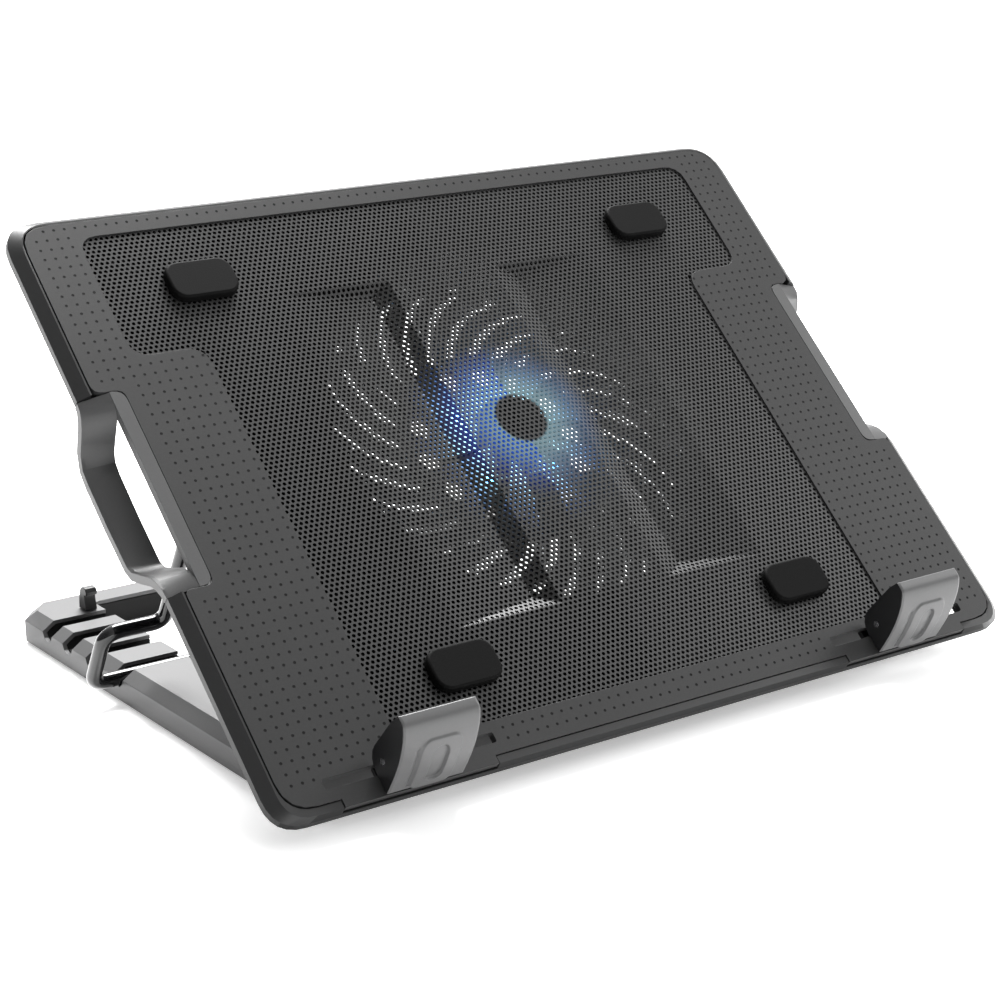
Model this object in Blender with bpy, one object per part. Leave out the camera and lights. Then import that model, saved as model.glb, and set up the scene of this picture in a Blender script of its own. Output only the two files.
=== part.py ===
"""Laptop cooling pad: a hinged perforated deck with a fan, a notched base and a folding wire bail.

Millimetres below become metres when the meshes are made. The deck is drawn in its own axes
(u across, v up the slope from the front edge, n out of the top face) and then tilted.
"""
import math

import bmesh
import bpy
from mathutils import Vector
from mathutils.geometry import tessellate_polygon

MM = 0.001
GAP = 0.3

# Deck outline and levels
TILT_DEG = 42.5
DECK_HALF = 190.0
DECK_DEPTH = 286.0
DECK_UNDER = -7.0
FLOOR_TOP = -3.4
RIM_TOP = -0.4
RIM_OUT = -3.9
FRONT_LIFT = 11.2

# Bezel, mesh opening and handle bays
BEZEL_HALF = 184.0
BEZEL_FRONT = 4.4
BEZEL_REAR = 281.0
TAB_IN = 92.0
TAB_OUT = 161.3
BAY_HALF = 170.9
BAY_FRONT = 102.5
BAY_REAR = 196.0
MESH_WIDE = 160.3
MESH_NARROW = 128.3
MESH_FRONT = 18.6
MESH_STEP = 210.4
MESH_REAR = 272.7
MESH_TOP = -0.9
MESH_THICK = 1.2

# Stops
SLOT_IN = 88.6
SLOT_OUT = 165.9
SLOT_V = 11.6
SLOT_HALF = 2.2
SLOT_ROOM = 2.4
STOP_U = 126.3
STOP_HALF = 17.2
STOP_AXIS = (11.0, 7.7)

# Fan
FAN_V = 150.0
FAN_R = 84.0
HUB_R = 16.5

# Main hinge and bail
HINGE = (22.7, -14.0)
BAIL_PIVOT_N = -11.5
BAIL_SLOPE_DEG = 60.0
BAIL_FOOT = (176.6, 10.7)
ROD_R = 3.25
BAIL_OUT = 178.0
BAIL_IN = 150.5
BAIL_END = 126.5
BAIL_JOG = 31.0

# Base
BASE_BOTTOM = 0.9
BASE_HALF = 166.0
BASE_WALL_TOP = 10.8
BASE_TOP = 14.7
BASE_BEVEL = 160.2
BASE_OPEN = 134.4
BASE_OPEN_Y = (52.0, 264.0)
BASE_REAR = 279.3
BASE_FRONT = 28.0
NOTCHES = ((171.9, 181.3), (197.6, 207.6), (220.9, 230.8), (241.6, 251.2))
NOTCH_FLOOR = 7.1

# The row's origin is under the middle of its box
CENTRE_Y = 133.823

COS = math.cos(math.radians(TILT_DEG))
SIN = math.sin(math.radians(TILT_DEG))


def clear_scene():
    for obj in list(bpy.data.objects):
        bpy.data.objects.remove(obj, do_unlink=True)


def material(name, colour, rough, metal=0.0, glow=0.0):
    mat = bpy.data.materials.new(name)
    mat.use_nodes = True
    shader = mat.node_tree.nodes["Principled BSDF"]
    shader.inputs["Base Color"].default_value = (*colour, 1.0)
    shader.inputs["Roughness"].default_value = rough
    shader.inputs["Metallic"].default_value = metal
    if glow:
        shader.inputs["Emission Color"].default_value = (*colour, 1.0)
        shader.inputs["Emission Strength"].default_value = glow
    return mat


def flat(point):
    """Base axes: x across, y to the rear, z up from the table."""
    return Vector((point[0], point[1] - CENTRE_Y, point[2])) * MM


def deck(point):
    """Deck axes to the row's axes, at the rest tilt."""
    u, v, n = point
    return flat((u, v * COS - n * SIN, v * SIN + n * COS + FRONT_LIFT))


def make(name, verts, faces, place, mat, origin=None):
    mesh = bpy.data.meshes.new(name)
    points = [place(p) for p in verts]
    base = place(origin) if origin is not None else Vector((0.0, 0.0, 0.0))
    mesh.from_pydata([p - base for p in points], [], faces)
    work = bmesh.new()
    work.from_mesh(mesh)
    bmesh.ops.remove_doubles(work, verts=work.verts, dist=0.000005)
    bmesh.ops.recalc_face_normals(work, faces=work.faces)
    work.to_mesh(mesh)
    work.free()
    obj = bpy.data.objects.new(name, mesh)
    obj.location = base
    bpy.context.scene.collection.objects.link(obj)
    mesh.materials.append(mat)
    return obj


def arc(cx, cy, r, a0, a1, steps):
    span = [a0 + (a1 - a0) * i / steps for i in range(steps + 1)]
    return [(cx + r * math.cos(math.radians(a)), cy + r * math.sin(math.radians(a))) for a in span]


def rounded(x0, y0, x1, y1, r, steps=4):
    return (arc(x1 - r, y0 + r, r, -90, 0, steps) + arc(x1 - r, y1 - r, r, 0, 90, steps)
            + arc(x0 + r, y1 - r, r, 90, 180, steps) + arc(x0 + r, y0 + r, r, 180, 270, steps))


def circle(cx, cy, r, steps=32):
    return arc(cx, cy, r, 0, 360 - 360 / steps, steps - 1)


def smooth_corners(points, radii, steps=3):
    """Round each corner of a closed outline with its own radius."""
    out = []
    count = len(points)
    for i, here in enumerate(points):
        r = radii[i]
        if r <= 0:
            out.append(here)
            continue
        p, a, b = Vector(here), Vector(points[i - 1]), Vector(points[(i + 1) % count])
        da, db = (a - p).normalized(), (b - p).normalized()
        start, end = p + da * r, p + db * r
        for k in range(steps + 1):
            t = k / steps
            q = start * (1 - t) ** 2 + p * 2 * t * (1 - t) + end * t ** 2
            out.append((q.x, q.y))
    return out


def prism_data(outline, low, high, holes=(), axis="n"):
    """A straight prism of an outline with holes, closed; axis is the direction it is drawn along."""
    loops = [outline] + list(holes)
    flats = [p for loop in loops for p in loop]
    caps = tessellate_polygon([[Vector((p[0], p[1], 0.0)) for p in loop] for loop in loops])
    total = len(flats)

    def lift(p, level):
        return (p[0], p[1], level) if axis == "n" else (level, p[0], p[1])

    verts = [lift(p, low) for p in flats] + [lift(p, high) for p in flats]
    faces = [tuple(t) for t in caps] + [tuple(i + total for i in reversed(t)) for t in caps]
    start = 0
    for loop in loops:
        size = len(loop)
        for i in range(size):
            a, b = start + i, start + (i + 1) % size
            faces.append((a, b, b + total, a + total))
        start += size
    return verts, faces


def prism(name, outline, low, high, place, mat, holes=(), axis="n", origin=None):
    verts, faces = prism_data(outline, low, high, holes, axis)
    return make(name, verts, faces, place, mat, origin)


def loft(name, rings, place, mat, origin=None):
    """Rings with equal counts joined in order, with both ends capped."""
    size = len(rings[0])
    verts = [p for ring in rings for p in ring]
    faces = [tuple(reversed(range(size))), tuple(range(len(verts) - size, len(verts)))]
    for k in range(len(rings) - 1):
        for i in range(size):
            a, b = k * size + i, k * size + (i + 1) % size
            faces.append((a, b, b + size, a + size))
    return make(name, verts, faces, place, mat, origin)


def combine(target, tool, operation="DIFFERENCE"):
    """A live exact boolean with a hidden tool."""
    tool.hide_render = True
    tool.display_type = "WIRE"
    step = target.modifiers.new("bool_" + tool.name, "BOOLEAN")
    step.operation = operation
    step.solver = "EXACT"
    step.object = tool
    return target


def rod(name, x0, x1, y, z, r, place, mat, steps=16, origin=None):
    return prism(name, circle(y, z, r, steps), x0, x1, place, mat, axis="u", origin=origin)


def deck_outline(half, front, rear, r_front, r_rear):
    points = [(-half, front), (half, front), (half, rear), (-half, rear)]
    return smooth_corners(points, [r_front, r_front, r_rear, r_rear], 6)


def mesh_outline(grow):
    wide, narrow = MESH_WIDE + grow, MESH_NARROW + grow
    front, step, rear = MESH_FRONT - grow, MESH_STEP - grow, MESH_REAR + grow
    right = [(narrow, front), (narrow, step), (wide, step), (wide, rear)]
    points = right + [(-x, y) for x, y in reversed(right)]
    return smooth_corners(points, [2, 9, 9, 9, 9, 9, 9, 2], 4)


def bezel_outline(grow):
    half, bay = BEZEL_HALF + grow, BAY_HALF + grow
    front, rear = BEZEL_FRONT - grow, BEZEL_REAR + grow
    low, high = BAY_FRONT - grow, BAY_REAR + grow
    inner, outer = TAB_IN - grow, TAB_OUT + grow
    right = [(inner, front), (inner, 0.8 - grow * 3), (outer, 0.8 - grow * 3), (outer, front), (half, front)]
    right += [(half, low), (bay, low), (bay, high), (half, high), (half, rear)]
    points = right + [(-x, y) for x, y in reversed(right)]
    radii = [0, 0, 0, 0, 13, 3, 4, 4, 5, 13]
    return smooth_corners(points, radii + radii[::-1], 4)


def slot(side, grow):
    a, b = sorted((side * (SLOT_IN - grow), side * (SLOT_OUT + grow)))
    return rounded(a, SLOT_V - SLOT_HALF - grow, b, SLOT_V + SLOT_HALF + grow, 0.6, 1)


def build_deck_frame(grey):
    low = deck_outline(DECK_HALF, 0.0, DECK_DEPTH, 14, 17)
    top = deck_outline(BEZEL_HALF + 1.2, 0.9, BEZEL_REAR + 1.4, 12, 15)
    rings = [[(x, y, DECK_UNDER) for x, y in low], [(x, y, RIM_OUT) for x, y in low]]
    rings.append([(x, y, RIM_TOP) for x, y in top])
    frame = loft("deck_frame", rings, deck, grey)
    for side in (-1, 1):
        lug = [(13.5, -6.5), (13.5, -13), (17, -19.5), (28, -19.5), (32, -13), (34, -6.5)]
        lug_body = prism("add_lug_%d" % side, lug, side * 50 - 10, side * 50 + 10, deck, grey, axis="u")
        combine(frame, lug_body, "UNION")
    seat = deck_outline(BEZEL_HALF + 0.4, BEZEL_FRONT - 0.4, BEZEL_REAR + 0.4, 13, 13)
    combine(frame, prism("cut_pocket", seat, FLOOR_TOP, 5.0, deck, grey))
    for side in (-1, 1):
        a, b = sorted((side * (TAB_IN - 0.4), side * (TAB_OUT + 0.4)))
        combine(frame, prism("cut_tab_%d" % side, rounded(a, -5, b, 9, 0.5, 1), FLOOR_TOP, 6.0, deck, grey))
    combine(frame, prism("cut_centre", rounded(-118, 54, 118, 240, 10), -12.0, 2.0, deck, grey))
    for side in (-1, 1):
        a, b = sorted((side * (BAY_HALF - 0.4), side * 200.0))
        bay = rounded(a, BAY_FRONT, b, BAY_REAR, 2, 2)
        combine(frame, prism("cut_bay_%d" % side, bay, -12, 5, deck, grey))
        combine(frame, prism("cut_slot_%d" % side, slot(side, SLOT_ROOM), -12.0, 2.0, deck, grey))
        a, b = sorted((side * 130.0, side * 147.0))
        combine(frame, prism("cut_latch_%d" % side, rounded(a, 246, b, 264, 2, 2), -12, -4.0, deck, grey))
        combine(frame, rod("cut_hinge_%d" % side, side * 50 - 12, side * 50 + 12, *HINGE, 2.3, deck, grey))
    return frame


def build_bezel(grey):
    holes = [mesh_outline(0.0), slot(-1, 0.0), slot(1, 0.0)]
    return prism("top_bezel", bezel_outline(0.0), FLOOR_TOP + GAP, 0.0, deck, grey, holes)


def build_mesh_panel(steel):
    """One sheet whose two dished bays fall towards the middle rib."""
    loops = [mesh_outline(-0.5)]
    bays = []
    for side in (-1, 1):
        rim = [(28, 60.5), (80, 60.5), (80, 230.5), (28, 230.5)]
        loops.append([(side * x, y) for x, y in rim])
        bays.append([(side * 38.6, 67.0), (side * 38.6, 225.0)])
    flats = [p for loop in loops for p in loop]
    caps = tessellate_polygon([[Vector((p[0], p[1], 0.0)) for p in loop] for loop in loops])
    verts = [(p[0], p[1], MESH_TOP) for p in flats]
    faces = [tuple(t) for t in caps]
    start = len(loops[0])
    for index in range(2):
        a, b, c, d = range(start + 4 * index, start + 4 * index + 4)
        e = len(verts)
        verts += [(x, y, MESH_TOP - 3.1) for x, y in bays[index]]
        faces += [(a, b, e), (b, c, e + 1), (b, e + 1, e), (c, d, e + 1), (d, a, e), (d, e, e + 1)]
    total = len(verts)
    verts += [(x, y, n - MESH_THICK) for x, y, n in verts]
    faces += [tuple(i + total for i in reversed(f)) for f in faces]
    size = len(loops[0])
    faces += [(i, (i + 1) % size, (i + 1) % size + total, i + total) for i in range(size)]
    return make("mesh_panel", verts, faces, deck, steel)


def build_pads(rubber):
    for name, u, v in (("rl", -116, 242.5), ("rr", 116, 242.5), ("fl", -87.3, 43.2), ("fr", 87.3, 43.2)):
        low = rounded(u - 15.6, v - 9.4, u + 15.6, v + 9.4, 6.2)
        top = rounded(u - 14.8, v - 8.7, u + 14.8, v + 8.7, 5.6)
        rings = [[(x, y, -0.5) for x, y in low], [(x, y, 2.9) for x, y in low], [(x, y, 3.7) for x, y in top]]
        loft("pad_" + name, rings, deck, rubber)


HANDLE_IN = ((195.7, 0), (190, -.3), (187, -1.6), (184.9, -4.2), (181.1, -12.6), (178.7, -17.6),
             (175.5, -20.3), (170, -21.3), (150, -21.7), (133, -21.5), (128, -21.3), (124.2, -19.3),
             (120, -13.5), (116, -7), (111, -2), (107, -.3), (102.8, 0))
HANDLE_OUT = ((195.7, -3.8), (192.4, -4.2), (189.5, -6.2), (186.5, -9.7), (183.8, -14.5), (181.1, -19.2),
              (176.3, -23), (170, -23.7), (150, -23.8), (137.4, -23.2), (130, -22.9), (126.5, -21.6),
              (122, -16.5), (116, -9.3), (112, -6.3), (107, -4.2), (102.8, -3.7))


def strap(side, u, tops, thick):
    """One end ring of the dipped bar: its top line and the same line moved down its own normal."""
    lows = []
    for i, (v, n) in enumerate(tops):
        a, b = tops[max(i - 1, 0)], tops[min(i + 1, len(tops) - 1)]
        along = Vector((b[0] - a[0], b[1] - a[1])).normalized()
        down = Vector((along.y, -along.x))
        if down.y > 0:
            down = -down
        edge = i in (0, len(tops) - 1)
        lows.append((v if edge else v + down.x * thick, n + (-thick if edge else down.y * thick)))
    return [(side * u, v, n) for v, n in tops] + [(side * u, v, n) for v, n in reversed(lows)]


def build_handles(grey):
    for name, side in (("l", -1), ("r", 1)):
        rings = [strap(side, 176.8, HANDLE_IN, 3.6), strap(side, 188.6, HANDLE_OUT, 4.0)]
        rings.append([(side * 190.0, v, n - 0.6 if i < 17 else n) for i, (_, v, n)
                      in enumerate(strap(side, 190.0, HANDLE_OUT, 3.9))])
        bar = loft("handle_" + name, rings, deck, grey)
        rail_line = [(171.1, 102.8), (171.1, 195.7), (177.2, 195.7), (177.2, 102.8)]
        rail_line = smooth_corners([(side * x, y) for x, y in rail_line], [5, 5, 0, 0], 4)
        rail = prism("add_rail_" + name, rail_line, -3.6, 0.0, deck, grey)
        combine(bar, rail, "UNION")


def build_cover(black):
    """The underside tray with its ring of curved air slots."""
    slots = []
    for k in range(28):
        turn = k * 360 / 28
        outer = [(84.0, 0.0), (77.0, 7.5), (68.0, 15.0), (58.0, 22.0), (49.0, 27.5)]
        ribbon = [(r, a - 1.7 - (80 - r) * 0.035) for r, a in outer]
        ribbon += [(r, a + 1.7 + (80 - r) * 0.035) for r, a in reversed(outer)]
        slots.append([(r * math.cos(math.radians(turn + a)), FAN_V + r * math.sin(math.radians(turn + a)))
                      for r, a in ribbon])
    for k in range(14):
        turn = math.radians(k * 360 / 14)
        ring = circle(38.0 * math.cos(turn), FAN_V + 38.0 * math.sin(turn), 5.2, 8)
        slots.append(ring)
    tray = prism("bottom_cover", rounded(-124, 50.5, 124, 246, 8, 3), -24.5, -7.3, deck, black)
    inner = rounded(-121.8, 52.7, 121.8, 243.8, 6, 3)
    combine(tray, prism("cut_tray", inner, -22.6, 5.0, deck, black))
    verts, faces = [], []
    for loop in slots:
        part_verts, part_faces = prism_data(loop, -30.0, -20.0)
        faces += [tuple(i + len(verts) for i in face) for face in part_faces]
        verts += part_verts
    combine(tray, make("cut_grille", verts, faces, deck, black))
    combine(tray, prism("cut_inlet", rounded(84.7, 240, 97.3, 250, 0.5, 1), -19.3, -11.7, deck, black))
    return tray


def build_fan(black, copper, steel, blue, green):
    ring = prism("fan_frame", circle(0, FAN_V, 89, 48), -22.0, -9.0, deck, black, [circle(0, FAN_V, 85, 48)])
    arms = []
    for k in range(4):
        a = math.radians(45 + 90 * k)
        for r, w in ((18.0, -5), (87.0, -3), (87.0, 3), (18.0, 5)):
            arms.append((r * math.cos(a) - w * math.sin(a), FAN_V + r * math.sin(a) + w * math.cos(a)))
    combine(ring, prism("add_arms", arms, -22.0, -20.4, deck, black), "UNION")
    combine(ring, prism("cut_axle_seat", circle(0, FAN_V, 2.0, 12), -25.0, -18.0, deck, black))
    origin = (0.0, FAN_V, -14.0)
    cup = circle(0, FAN_V, HUB_R, 32)
    rotor = prism("fan_rotor", cup, -19.4, -7.5, deck, black, origin=origin)
    verts, faces = [], []
    for k in range(9):
        rings = []
        for step in range(5):
            t = step / 4
            r = 15.0 + (FAN_R - 15.8) * t
            lead, trail = 40 * k - 22 * t * t, 40 * k + 27 - 4 * t - 14 * t * t
            high, low = -9.0 + 0.4 * t, -16.6 - 0.4 * t
            for a, n in ((lead, high), (trail, low), (trail, low - 1.0), (lead, high - 1.0)):
                a = math.radians(a)
                rings.append((r * math.cos(a), FAN_V + r * math.sin(a), n))
        base = len(verts)
        verts += rings
        faces += [(base + 3, base + 2, base + 1, base), tuple(base + 16 + i for i in range(4))]
        for s in range(4):
            for i in range(4):
                a, b = base + 4 * s + i, base + 4 * s + (i + 1) % 4
                faces.append((a, b, b + 4, a + 4))
    combine(rotor, make("add_blades", verts, faces, deck, black, origin), "UNION")
    combine(rotor, prism("cut_cup", circle(0, FAN_V, 14.6, 24), -25.0, -9.2, deck, black, origin=origin))
    combine(rotor, prism("cut_axle", circle(0, FAN_V, 1.4, 12), -12.0, 0.0, deck, black, origin=origin))
    prism("motor_stator", circle(0, FAN_V, 12.5, 20), -19.2, -10.2, deck, copper, [circle(0, FAN_V, 1.9, 12)])
    prism("fan_axle", circle(0, FAN_V, 1.1, 12), -22.0, -7.9, deck, steel, origin=origin)
    for k in range(4):
        a = math.radians(45 + 90 * k)
        u, v = 24.0 * math.cos(a), FAN_V + 24.0 * math.sin(a)
        prism("led_%d" % (k + 1), circle(u, v, 2.0, 10), -20.1, -18.7, deck, blue)
    prism("motor_board", circle(0, FAN_V, 12.0, 20), -20.1, -19.5, deck, green, [circle(0, FAN_V, 1.9, 12)])


def build_electrics(green, black):
    prism("control_board", rounded(76, 212, 110, 234, 1, 1), -22.2, -20.7, deck, green)
    prism("power_inlet", rounded(85, 236, 97, 246.2, 0.5, 1), -19.0, -12.0, deck, black)


def bail_pivot():
    """Slope position of the bail's upper end and the leg length that puts the foot in its notch."""
    slope = math.radians(BAIL_SLOPE_DEG)
    y0, z0 = BAIL_FOOT
    # y0 - L cos = v COS - n SIN ; z0 + L sin = v SIN + n COS + FRONT_LIFT
    n = BAIL_PIVOT_N
    right_y, right_z = y0 + n * SIN, z0 - n * COS - FRONT_LIFT
    length = (right_y * SIN - right_z * COS) / (math.sin(slope) * COS + math.cos(slope) * SIN)
    v = (right_y - length * math.cos(slope)) / COS
    return v, length


def build_bail(chrome):
    slope = math.radians(BAIL_SLOPE_DEG)
    v_pivot, length = bail_pivot()
    half = [(0.0, 0.0), (BAIL_OUT, 0.0), (BAIL_OUT, BAIL_JOG), (BAIL_IN, BAIL_JOG)]
    half += [(BAIL_IN, length), (BAIL_END, length)]
    radii = [0, 6.5, 8.0, 6.0, 5.5, 0]
    path = []
    for i, here in enumerate(half):
        if radii[i] == 0:
            path.append(Vector(here))
            continue
        p, a, b = Vector(here), Vector(half[i - 1]), Vector(half[i + 1])
        start, end = p + (a - p).normalized() * radii[i], p + (b - p).normalized() * radii[i]
        for k in range(5):
            t = k / 4
            path.append(start * (1 - t) ** 2 + p * 2 * t * (1 - t) + end * t ** 2)
    path = [Vector((-p.x, p.y)) for p in reversed(path[1:])] + path[1:]
    rings = []
    for i, p in enumerate(path):
        a, b = path[max(i - 1, 0)], path[min(i + 1, len(path) - 1)]
        into, out = (p - a), (b - p)
        into = into.normalized() if into.length > 1e-9 else out.normalized()
        out = out.normalized() if out.length > 1e-9 else into
        along = (into + out).normalized()
        side = Vector((-along.y, along.x)) / max(along.dot(into), 0.5)
        ring = []
        for k in range(12):
            angle = math.radians(30 * k)
            q = p + side * ROD_R * math.cos(angle)
            lift = ROD_R * math.sin(angle)
            y = BAIL_FOOT[0] - q.y * math.cos(slope) + lift * math.sin(slope)
            z = BAIL_FOOT[1] + q.y * math.sin(slope) + lift * math.cos(slope)
            ring.append((q.x, y, z))
        rings.append(ring)
    top = (BAIL_FOOT[0] - length * math.cos(slope), BAIL_FOOT[1] + length * math.sin(slope))
    loft("bail", rings, flat, chrome, (0.0, top[0], top[1]))
    return v_pivot


def build_bail_clips(black, v_pivot):
    for name, side in (("l", -1), ("r", 1)):
        block = [(v_pivot - 9, -7.3), (v_pivot - 5.4, -14.5), (v_pivot - 2.5, -16.8), (v_pivot + 2.5, -16.8)]
        block += [(v_pivot + 5.4, -14.5), (v_pivot + 9, -7.3)]
        a, b = sorted((side * 125.2, side * 133.6))
        hole = circle(v_pivot, BAIL_PIVOT_N, ROD_R + 0.35, 16)
        prism("bail_clip_" + name, block, a, b, deck, black, [hole], axis="u")


STOP_FACE = ((1.2, 0.4), (2.1, 6.0), (3.2, 11.5), (5.2, 18.5), (8.6, 26.0), (12.6, 31.0), (17.2, 31.4))
STOP_BACK = ((17.6, 29.6), (13.6, 28.9), (10.6, 24.7), (7.6, 17.4), (5.6, 10.6), (4.6, 5.5), (3.8, 0.4))
STOP_CHEEK = ((1.2, 0.4), (3.2, 11.5), (5.2, 18.5), (8.6, 26.0), (12.6, 31.0), (17.2, 31.4), (18.3, 26.0),
              (18.3, 7.7), (17.6, 4.6), (15.7, 2.2), (13.4, 0.9), (11.0, 0.4))


def build_stops(grey, black, steel):
    v0, n0 = STOP_AXIS
    for name, side in (("l", -1), ("r", 1)):
        centre = side * STOP_U
        lo, hi = centre - STOP_HALF, centre + STOP_HALF
        origin = (centre, v0, n0)
        profile = list(STOP_FACE + STOP_BACK)
        plate = prism("stop_plate_" + name, profile, lo, hi, deck, grey, axis="u", origin=origin)
        hole = circle(v0, n0, 1.55, 12)
        for tag, a in (("a", lo), ("b", hi - 2.2)):
            cheek = prism("add_cheek_" + name + tag, list(STOP_CHEEK), a, a + 2.2, deck, black, [hole],
                          axis="u", origin=origin)
            combine(plate, cheek, "UNION")
        rod("stop_pin_" + name, lo + 0.2, hi - 0.2, v0, n0, 1.2, deck, steel, 12, origin)
        body = [(9.8, -9.6), (9.8, -7.4), (9.8, 0.5), (8.2, 2.0), (8.2, 9.5), (9.5, 10.8), (12.5, 10.8)]
        body += [(13.4, 9.5), (13.4, -9.6)]
        slide = prism("stop_slider_" + name, body, centre - 7, centre + 7, deck, black, [hole], axis="u")
        sole = rounded(centre - 13, 6, centre + 13, 17.2, 1.5, 2)
        foot = prism("add_foot_" + name, sole, -9.6, -7.4, deck, black)
        combine(slide, foot, "UNION")


def base_ring(z, side_in, rear_in, front_in):
    half, rear, front = BASE_HALF - side_in, BASE_REAR - rear_in, BASE_FRONT + front_in
    right = [(half - 6.0, front), (half, front + 6.0), (half, rear - 9.0), (half - 7.5, rear)]
    points = right + [(-x, y) for x, y in reversed(right)]
    return [(x, y, z) for x, y in points]


def cut_base(body, tag, grey):
    outline = rounded(-BASE_OPEN, BASE_OPEN_Y[0], BASE_OPEN, BASE_OPEN_Y[1], 3, 2)
    combine(body, prism("cut_open_" + tag, outline, -5.0, 25.0, flat, grey))
    for k, (y0, y1) in enumerate(NOTCHES):
        mid = (y0 + y1) / 2
        groove = [(y0, 16), (y0, 10.9), (y0 + 1.6, 8.1), (mid - 1.2, NOTCH_FLOOR), (mid + 1.2, NOTCH_FLOOR)]
        groove += [(y1 - 1.6, 8.1), (y1, 10.9), (y1, 16)]
        for side in (-1, 1):
            a, b = sorted((side * 130.0, side * 168.0))
            combine(body, prism("cut_%s_%d_%d" % (tag, k, side), groove, a, b, flat, grey, axis="u"))


def build_base(grey, black):
    rings = [base_ring(BASE_BOTTOM, 0, 0, 0), base_ring(BASE_WALL_TOP, 0, 0, 0)]
    rings.append(base_ring(BASE_TOP, BASE_HALF - BASE_BEVEL, 1.5, 2.0))
    cover = loft("base_cover", rings, flat, grey)
    hollow = [base_ring(-1.0, 1.9, 1.9, 1.9), base_ring(9.9, 1.9, 1.9, 1.9), base_ring(12.9, 6.6, 3.0, 3.4)]
    combine(cover, loft("cut_hollow", hollow, flat, grey))
    cut_base(cover, "cover", grey)
    core_rings = [base_ring(BASE_BOTTOM, 2.2, 2.2, 2.2), base_ring(9.7, 2.2, 2.2, 2.2)]
    core_rings.append(base_ring(12.6, 6.7, 3.2, 3.6))
    core = loft("base_frame", core_rings, flat, black)
    hy, hz = hinge_yz()
    for side in (-1, 1):
        for k, a in enumerate((31.0, 61.0)):
            x0, x1 = sorted((side * a, side * (a + 8.0)))
            ear = [(hy - 4.8, hz), (hy - 3.4, hz + 3.4), (hy, hz + 4.8), (hy + 4, hz + 3.6), (44, 11)]
            ear += [(44, 3), (34, 3), (hy - 1, hz - 4.8), (hy - 3.6, hz - 3.4)]
            combine(core, prism("add_ear_%d_%d" % (side, k), ear, x0, x1, flat, black, axis="u"), "UNION")
            room = rounded(x0 - 0.4, 20, x1 + 0.4, 45, 0.5, 1)
            combine(cover, prism("cut_ear_%d_%d" % (side, k), room, -2, 20, flat, grey))
        x0, x1 = sorted((side * 38.8, side * 61.2))
        bay = rounded(x0, 20, x1, 38.5, 0.5, 1)
        combine(cover, prism("cut_lugbay_%d" % side, bay, -2, 25, flat, grey))
        combine(core, prism("cut_lugcore_%d" % side, bay, -2, 25, flat, black))
        combine(core, rod("cut_pin_%d" % side, side * 50 - 22, side * 50 + 22, hy, hz, 2.3, flat, black))
    cut_base(core, "core", black)


def hinge_yz():
    v, n = HINGE
    return v * COS - n * SIN, v * SIN + n * COS + FRONT_LIFT


def build_base_fittings(grey, rubber, steel):
    hy, hz = hinge_yz()
    for name, side in (("l", -1), ("r", 1)):
        x0, x1 = sorted((side * 31.4, side * 68.6))
        rod("hinge_pin_" + name, x0, x1, hy, hz, 1.95, flat, steel, 16)
        hook = [(253.0, 15.0), (260.6, 15.0), (260.2, 20.0), (258.6, 24.4), (256.4, 25.9), (253.4, 25.6)]
        hook += [(252.2, 24.2), (252.4, 22.4), (254.4, 22.0), (254.2, 20.0)]
        a, b = sorted((side * 137.6, side * 143.2))
        prism("latch_hook_" + name, hook, a, b, flat, grey, axis="u")
        for tag, y in (("front", 45.0), ("rear", 270.0)):
            prism("foot_%s_%s" % (tag, name), circle(side * 148.0, y, 6.0, 20), 0.0, 0.6, flat, rubber)


def main():
    clear_scene()
    grey = material("grey_plastic", (0.13, 0.13, 0.14), 0.45)
    pale = material("pale_grey_plastic", (0.33, 0.33, 0.34), 0.45)
    black = material("black_plastic", (0.012, 0.012, 0.014), 0.4)
    steel = material("mesh_steel", (0.16, 0.16, 0.17), 0.4, 0.7)
    chrome = material("black_chrome", (0.05, 0.05, 0.055), 0.15, 1.0)
    pin = material("pin_steel", (0.5, 0.5, 0.52), 0.3, 1.0)
    rubber = material("rubber", (0.025, 0.025, 0.026), 0.8)
    copper = material("copper", (0.6, 0.25, 0.1), 0.35, 1.0)
    blue = material("led_lens", (0.05, 0.25, 1.0), 0.2, 0.0, 6.0)
    green = material("board", (0.02, 0.12, 0.05), 0.5)
    build_deck_frame(grey)
    build_bezel(grey)
    build_mesh_panel(steel)
    build_pads(rubber)
    build_handles(grey)
    build_cover(black)
    build_fan(black, copper, pin, blue, green)
    build_electrics(green, black)
    v_pivot = build_bail(chrome)
    build_bail_clips(black, v_pivot)
    build_stops(pale, black, pin)
    build_base(pale, black)
    build_base_fittings(grey, rubber, pin)


main()
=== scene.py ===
"""Laptop cooling pad: the looks, piece by piece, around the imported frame.

Lengths are in metres. Dimples, sheet and stop faces are drawn flat in the deck's own axes (u across, v up
the slope, n out of its top), then turned by TILT about the deck's front edge and moved to FRONT_EDGE.
"""
import math

import bmesh
import bpy
from mathutils import Matrix, Vector


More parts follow.
